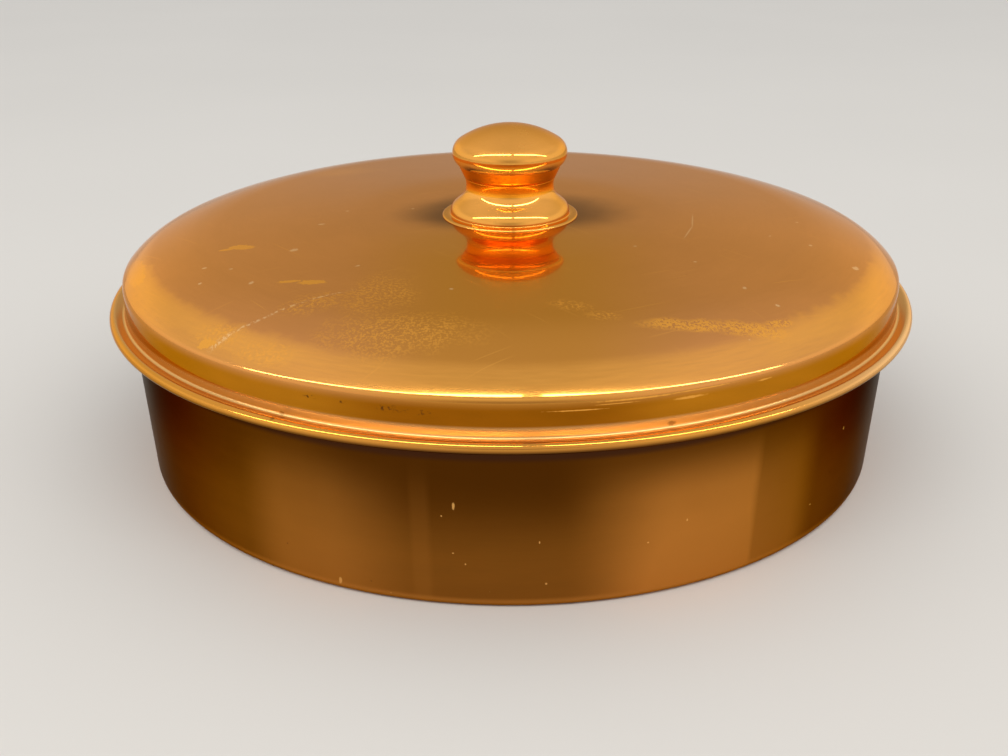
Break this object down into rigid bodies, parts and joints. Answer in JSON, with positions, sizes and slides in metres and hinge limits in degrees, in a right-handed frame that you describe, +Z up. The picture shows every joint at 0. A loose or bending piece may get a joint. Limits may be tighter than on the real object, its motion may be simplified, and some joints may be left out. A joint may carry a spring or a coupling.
{
  "type": "covered serving dish",
  "caption": "Shallow round covered serving dish in spun copper sheet, with a slip-over lid, a rolled bead round its foot and a hollow knob.",
  "frame": {"origin": "centre of the dish's flat bottom, on the surface it stands on", "axes": "+Z up, along the axis of the dish, the lid and the knob; +X and +Y are equal, since every piece is round"},
  "size_m": [0.24, 0.24, 0.0961],
  "materials": {
    "dish_copper": "spun satin copper, tarnished, tinned inside",
    "dish_wire_steel": "plain drawn wire",
    "lid_copper": "spun satin copper, scratched and rubbed, tinned inside",
    "lid_wire_steel": "plain drawn wire",
    "knob_body_copper": "polished copper",
    "knob_cap_copper": "polished copper",
    "anchor_brass": "turned",
    "washer_brass": "stamped",
    "screw_brass": "turned"
  },
  "bodies": {
    "dish": {"dish_shell": "dish_copper", "dish_rim_wire": "dish_wire_steel"},
    "lid": {"lid_shell": "lid_copper", "lid_rim_wire": "lid_wire_steel", "knob_body": "knob_body_copper", "knob_cap": "knob_cap_copper", "knob_anchor": "anchor_brass", "knob_washer": "washer_brass", "knob_screw": "screw_brass"}
  },
  "joints": [
    {"name": "lid_lift", "type": "slide", "parent": "dish", "child": "lid", "axis": [0, 0, 1], "range_m": [0, 0.12]}
  ]
}
